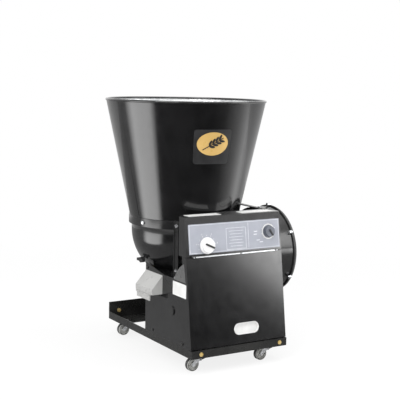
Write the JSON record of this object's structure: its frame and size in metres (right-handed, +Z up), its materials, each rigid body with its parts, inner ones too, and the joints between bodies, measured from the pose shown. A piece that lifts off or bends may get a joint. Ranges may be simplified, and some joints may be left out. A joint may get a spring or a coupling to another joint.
{
  "type": "grain huller",
  "caption": "Wheeled impeller grain huller: a wide round hopper over a leaning control cabinet, side huller drum, belt drive from a rear motor, grain spout and husk outlet.",
  "frame": {"origin": "on the floor under the middle of the machine's box", "axes": "+X to the right seen from the control face, +Y to the rear, +Z up"},
  "size_m": [0.6599, 0.707, 1.004],
  "materials": {
    "black_enamel": "glossy black enamel on sheet steel",
    "decal": "satin grey-lavender printed plate",
    "dial_white": "smooth white moulded",
    "dial_grey": "smooth grey moulded",
    "pull_white": "satin white moulded",
    "zinc": "bright zinc",
    "gold_zinc": "yellow zinc",
    "chrome": "bright chrome",
    "trim": "satin aluminium",
    "wheel_nylon": "grey moulded wheel",
    "black_plastic": "matt black moulded",
    "drum_steel": "glossy dark casing",
    "cover_grey": "satin grey cast cover",
    "urethane": "amber wear strip",
    "steel": "turned steel",
    "cast": "grey cast",
    "belt": "matt black rubber",
    "motor_paint": "dark grey painted casting",
    "spout_steel": "pale painted sheet"
  },
  "bodies": {
    "machine": {"base_bolts": "gold_zinc", "base_pan": "black_enamel", "bearing_units": "steel", "cabinet_top": "black_enamel", "castor_plates": "chrome", "control_box": "black_enamel", "control_plate": "decal", "drive_belt": "belt", "drum_bolts": "zinc", "drum_casing": "drum_steel", "drum_cover": "cover_grey", "drum_liner": "urethane", "fan_belt": "belt", "feed_duct": "black_enamel", "front_posts": "black_enamel", "funnel_floor": "black_enamel", "hinge_strip": "trim", "hopper_band": "black_enamel", "hopper_bolts": "zinc", "hopper_cone": "black_enamel", "hopper_stays": "black_enamel", "husk_outlet": "black_enamel", "left_panel": "black_enamel", "lower_funnel": "black_enamel", "motor": "motor_paint", "motor_rails": "black_enamel", "panel_screws": "zinc", "rear_panel": "black_enamel", "rice_spout": "spout_steel", "right_panel": "black_enamel", "side_gusset": "black_enamel"},
    "castor_fl": {"castor_fork_fl": "chrome", "castor_axle_fl": "chrome"},
    "wheel_fl": {"castor_wheel_fl": "wheel_nylon"},
    "pedal_fl": {"brake_pedal_fl": "black_plastic"},
    "castor_fr": {"castor_fork_fr": "chrome", "castor_axle_fr": "chrome"},
    "wheel_fr": {"castor_wheel_fr": "wheel_nylon"},
    "pedal_fr": {"brake_pedal_fr": "black_plastic"},
    "castor_rl": {"castor_fork_rl": "chrome", "castor_axle_rl": "chrome"},
    "wheel_rl": {"castor_wheel_rl": "wheel_nylon"},
    "castor_rr": {"castor_fork_rr": "chrome", "castor_axle_rr": "chrome"},
    "wheel_rr": {"castor_wheel_rr": "wheel_nylon"},
    "door": {"front_door": "black_enamel", "door_pull": "pull_white"},
    "feed_dial": {"feed_dial": "dial_white"},
    "shutter": {"feed_shutter": "steel"},
    "air_dial": {"air_dial": "dial_grey"},
    "damper": {"air_damper": "steel"},
    "impeller": {"impeller": "steel", "impeller_shaft": "steel", "impeller_pulley": "cast"},
    "motor_rotor": {"motor_shaft": "steel", "motor_pulley": "cast"},
    "fan": {"fan_rotor": "steel", "fan_pulley": "cast"},
    "spout_flap": {"spout_flap": "trim"},
    "cleanout_knob": {"cleanout_knob": "black_plastic"}
  },
  "joints": [
    {"name": "swivel_fl", "type": "hinge", "parent": "machine", "child": "castor_fl", "pos_m": [-0.135, -0.2915, 0.062], "axis": [0, 0, 1], "continuous": true},
    {"name": "roll_fl", "type": "hinge", "parent": "castor_fl", "child": "wheel_fl", "pos_m": [-0.157, -0.2915, 0.025], "axis": [0, 1, 0], "continuous": true},
    {"name": "brake_fl", "type": "hinge", "parent": "castor_fl", "child": "pedal_fl", "pos_m": [-0.127, -0.2915, 0.042], "axis": [0, 1, 0], "range_deg": [0, 15]},
    {"name": "swivel_fr", "type": "hinge", "parent": "machine", "child": "castor_fr", "pos_m": [0.175, -0.2915, 0.062], "axis": [0, 0, 1], "continuous": true},
    {"name": "roll_fr", "type": "hinge", "parent": "castor_fr", "child": "wheel_fr", "pos_m": [0.153, -0.2915, 0.025], "axis": [0, 1, 0], "continuous": true},
    {"name": "brake_fr", "type": "hinge", "parent": "castor_fr", "child": "pedal_fr", "pos_m": [0.183, -0.2915, 0.042], "axis": [0, 1, 0], "range_deg": [0, 15]},
    {"name": "swivel_rl", "type": "hinge", "parent": "machine", "child": "castor_rl", "pos_m": [-0.135, 0.2745, 0.062], "axis": [0, 0, 1], "continuous": true},
    {"name": "roll_rl", "type": "hinge", "parent": "castor_rl", "child": "wheel_rl", "pos_m": [-0.157, 0.2745, 0.025], "axis": [0, 1, 0], "continuous": true},
    {"name": "swivel_rr", "type": "hinge", "parent": "machine", "child": "castor_rr", "pos_m": [0.175, 0.2745, 0.062], "axis": [0, 0, 1], "continuous": true},
    {"name": "roll_rr", "type": "hinge", "parent": "castor_rr", "child": "wheel_rr", "pos_m": [0.153, 0.2745, 0.025], "axis": [0, 1, 0], "continuous": true},
    {"name": "door_swing", "type": "hinge", "parent": "machine", "child": "door", "pos_m": [0.02, -0.30389, 0.434], "axis": [-1, 0, 0], "range_deg": [0, 75]},
    {"name": "feed_dial_turn", "type": "hinge", "parent": "machine", "child": "feed_dial", "pos_m": [-0.103, -0.29358, 0.472], "axis": [0, 0.9904, -0.1383], "range_deg": [0, 270]},
    {"name": "shutter_slide", "type": "slide", "parent": "machine", "child": "shutter", "axis": [0, 0, 1], "range_m": [0, 0.06]},
    {"name": "air_dial_turn", "type": "hinge", "parent": "machine", "child": "air_dial", "pos_m": [0.177, -0.28883, 0.506], "axis": [0, 0.9904, -0.1383], "range_deg": [0, 270]},
    {"name": "damper_turn", "type": "hinge", "parent": "machine", "child": "damper", "pos_m": [-0.052, 0.0515, 0.205], "axis": [0, 0, 1], "range_deg": [0, 90]},
    {"name": "impeller_spin", "type": "hinge", "parent": "machine", "child": "impeller", "pos_m": [0.02, -0.1055, 0.33], "axis": [1, 0, 0], "continuous": true},
    {"name": "motor_spin", "type": "hinge", "parent": "machine", "child": "motor_rotor", "pos_m": [0.02, 0.1685, 0.185], "axis": [1, 0, 0], "continuous": true},
    {"name": "fan_spin", "type": "hinge", "parent": "machine", "child": "fan", "pos_m": [0.02, -0.2015, 0.215], "axis": [1, 0, 0], "continuous": true},
    {"name": "spout_flap_swing", "type": "hinge", "parent": "machine", "child": "spout_flap", "pos_m": [-0.235, -0.1255, 0.257], "axis": [0, 1, 0], "range_deg": [0, 75]},
    {"name": "cleanout_turn", "type": "hinge", "parent": "machine", "child": "cleanout_knob", "pos_m": [-0.18487, 0.0335, 0.37], "axis": [-1, 0, 0], "range_deg": [0, 90]}
  ],
  "couplings": [
    {"joint": "shutter_slide", "follows": "feed_dial_turn", "m_per_rad": 0.012732},
    {"joint": "damper_turn", "follows": "air_dial_turn", "ratio": 0.33333},
    {"joint": "motor_spin", "follows": "impeller_spin", "ratio": 0.81366},
    {"joint": "fan_spin", "follows": "impeller_spin", "ratio": 0.90762}
  ]
}
